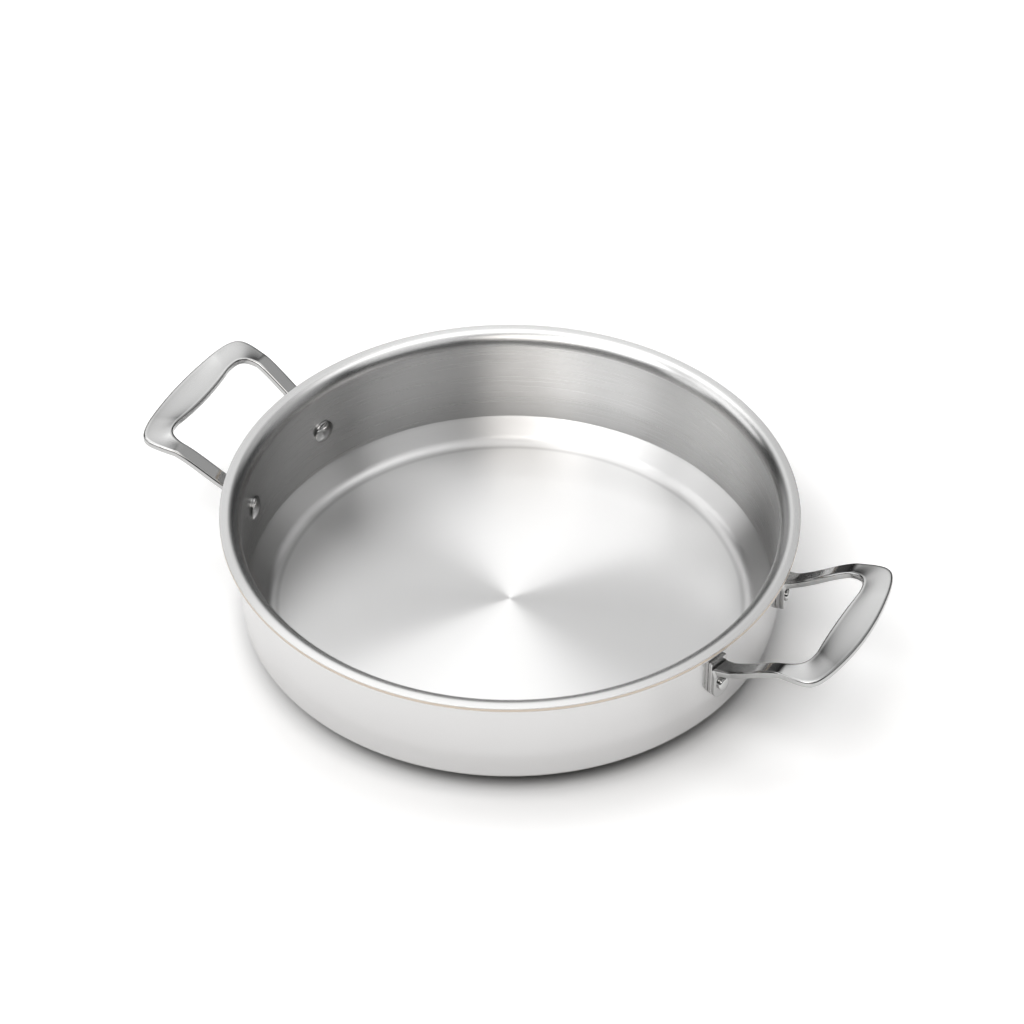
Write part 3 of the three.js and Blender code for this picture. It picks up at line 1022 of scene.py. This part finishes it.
# soft studio light: big lamps hung round the table, as seen from the camera's side
# azimuth 0 is to the camera's right and 90 behind the pan
# core and edge: degrees from a lamp's middle to where its glow begins to fall and to where it ends
studio = {
    "turn": 28.6,  # camera's own axes to the pan's axes
    "horizon": {"strength": 0.09, "low": 8, "high": 26},  # pale walls of the room, elevations
    "lamps": [
        {"azimuth": 215, "elevation": 55, "core": 7, "edge": 25, "strength": 3.35},  # key, front left
        {"azimuth": 115, "elevation": 67, "core": 15, "edge": 21, "strength": 1.8},  # above, behind
        {"azimuth": 50, "elevation": 72, "core": 8, "edge": 19, "strength": 1.75},  # above, right
        {"azimuth": 5, "elevation": 28, "core": 8, "edge": 22, "strength": 0.32},  # right, low
        {"azimuth": 98, "elevation": 44, "core": 2, "edge": 20, "strength": 1.4},  # behind
        {"azimuth": 125, "elevation": 16, "core": 4, "edge": 16, "strength": 0.4},  # behind left, low
        {"azimuth": 195, "elevation": 21, "core": 5, "edge": 15, "strength": 1.45},  # left, low
        {"azimuth": 165, "elevation": 40, "core": 12, "edge": 19, "strength": 1.7},  # left
        {"azimuth": 38, "elevation": 55, "core": 16, "edge": 24, "strength": 0.62},  # behind, right
        {"azimuth": 320, "elevation": 57, "core": 15, "edge": 21, "strength": 0.93},  # right
        {"azimuth": 258, "elevation": 55, "core": 9, "edge": 21, "strength": 2.8,
         "color": (1.025, 0.997, 0.967)},  # beside the camera, a little warm
    ],
}


def makeWorld():
    world = bpy.data.worlds.new("studio")
    scene.world = world
    world.use_nodes = True
    tree = world.node_tree
    toSky = put(tree, "ShaderNodeTexCoord").outputs["Generated"]
    up = put(tree, "ShaderNodeSeparateXYZ", toSky).outputs[2]
    horizon = studio["horizon"]
    low, high = math.sin(math.radians(horizon["low"])), math.sin(math.radians(horizon["high"]))
    total = spread(tree, up, low, high, horizon["strength"], 0.0)
    for lamp in studio["lamps"]:
        azimuth = math.radians(lamp["azimuth"] + studio["turn"])
        elevation = math.radians(lamp["elevation"])
        level = math.cos(elevation)
        toward = (level * math.cos(azimuth), level * math.sin(azimuth), math.sin(elevation))
        facing = put(tree, "ShaderNodeVectorMath", toSky, toward, operation="DOT_PRODUCT").outputs["Value"]
        edge, core = math.cos(math.radians(lamp["edge"])), math.cos(math.radians(lamp["core"]))
        glow = spread(tree, facing, edge, core, 0.0, lamp["strength"])
        color = lamp.get("color", (1, 1, 1))
        light = put(tree, "ShaderNodeVectorMath", color, glow, operation="SCALE").outputs["Vector"]
        total = put(tree, "ShaderNodeVectorMath", total, light, operation="ADD").outputs["Vector"]
    tree.links.new(total, tree.nodes["Background"].inputs["Color"])


makeWorld()
print("table, camera and lamps ready")
